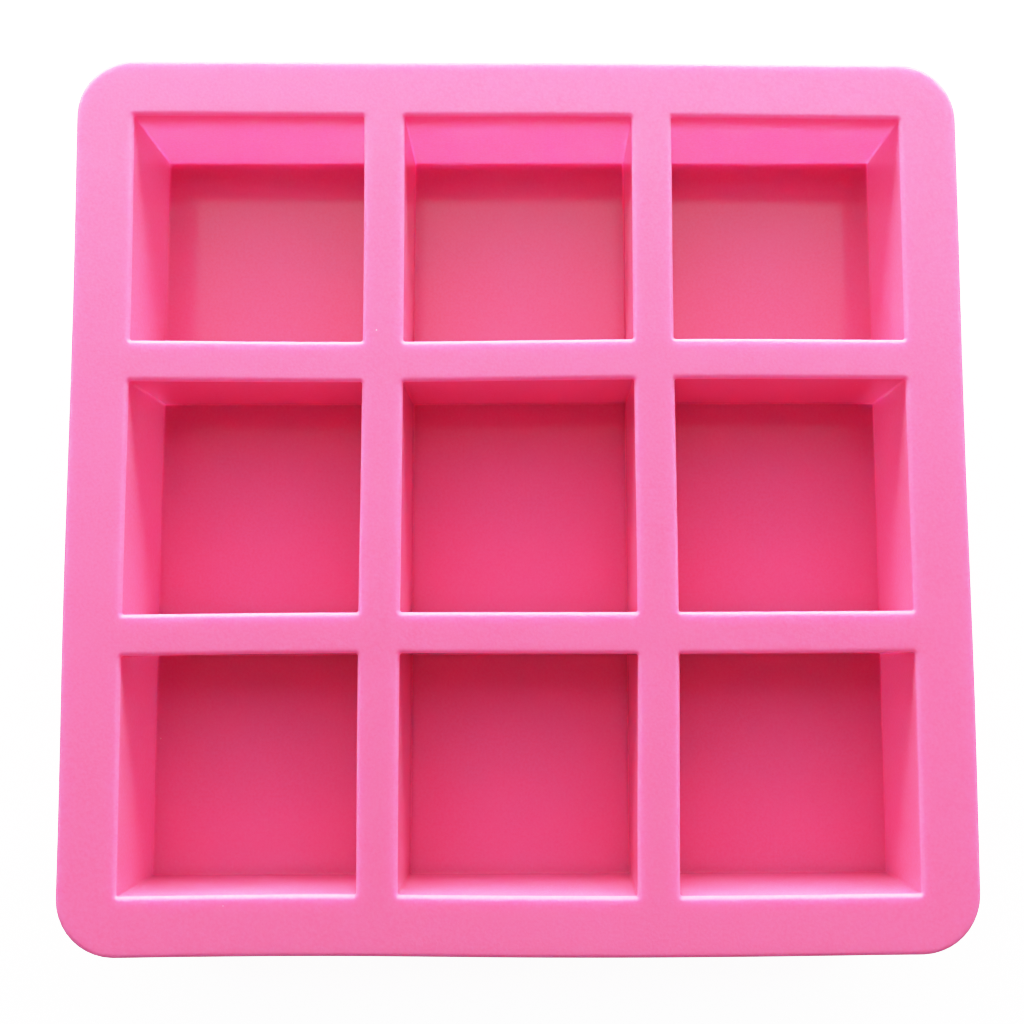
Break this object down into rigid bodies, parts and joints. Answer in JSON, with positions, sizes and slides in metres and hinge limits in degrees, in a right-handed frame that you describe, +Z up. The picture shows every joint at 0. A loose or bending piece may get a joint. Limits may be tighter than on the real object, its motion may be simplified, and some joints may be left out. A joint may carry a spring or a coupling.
{
  "type": "soap bar mould",
  "caption": "Square flexible silicone tray mould for soap bars: a flat rounded rim and webs carry a grid of thin-walled square cups for casting rectangular bars.",
  "frame": {"origin": "middle of the underside, level with the floors of the cups that the tray stands on", "axes": "+Z up, out of the cavities; +X to the right and +Y to the back of the tray, both along its sides"},
  "size_m": [0.231, 0.231, 0.032],
  "materials": {
    "silicone": "satin deck, polished cavities"
  },
  "bodies": {
    "root": {"rim_flange": "silicone", "web_grid": "silicone", "cup_front_left": "silicone", "cup_front_centre": "silicone", "cup_front_right": "silicone", "cup_middle_left": "silicone", "cup_middle_centre": "silicone", "cup_middle_right": "silicone", "cup_back_left": "silicone", "cup_back_centre": "silicone", "cup_back_right": "silicone"}
  },
  "joints": []
}
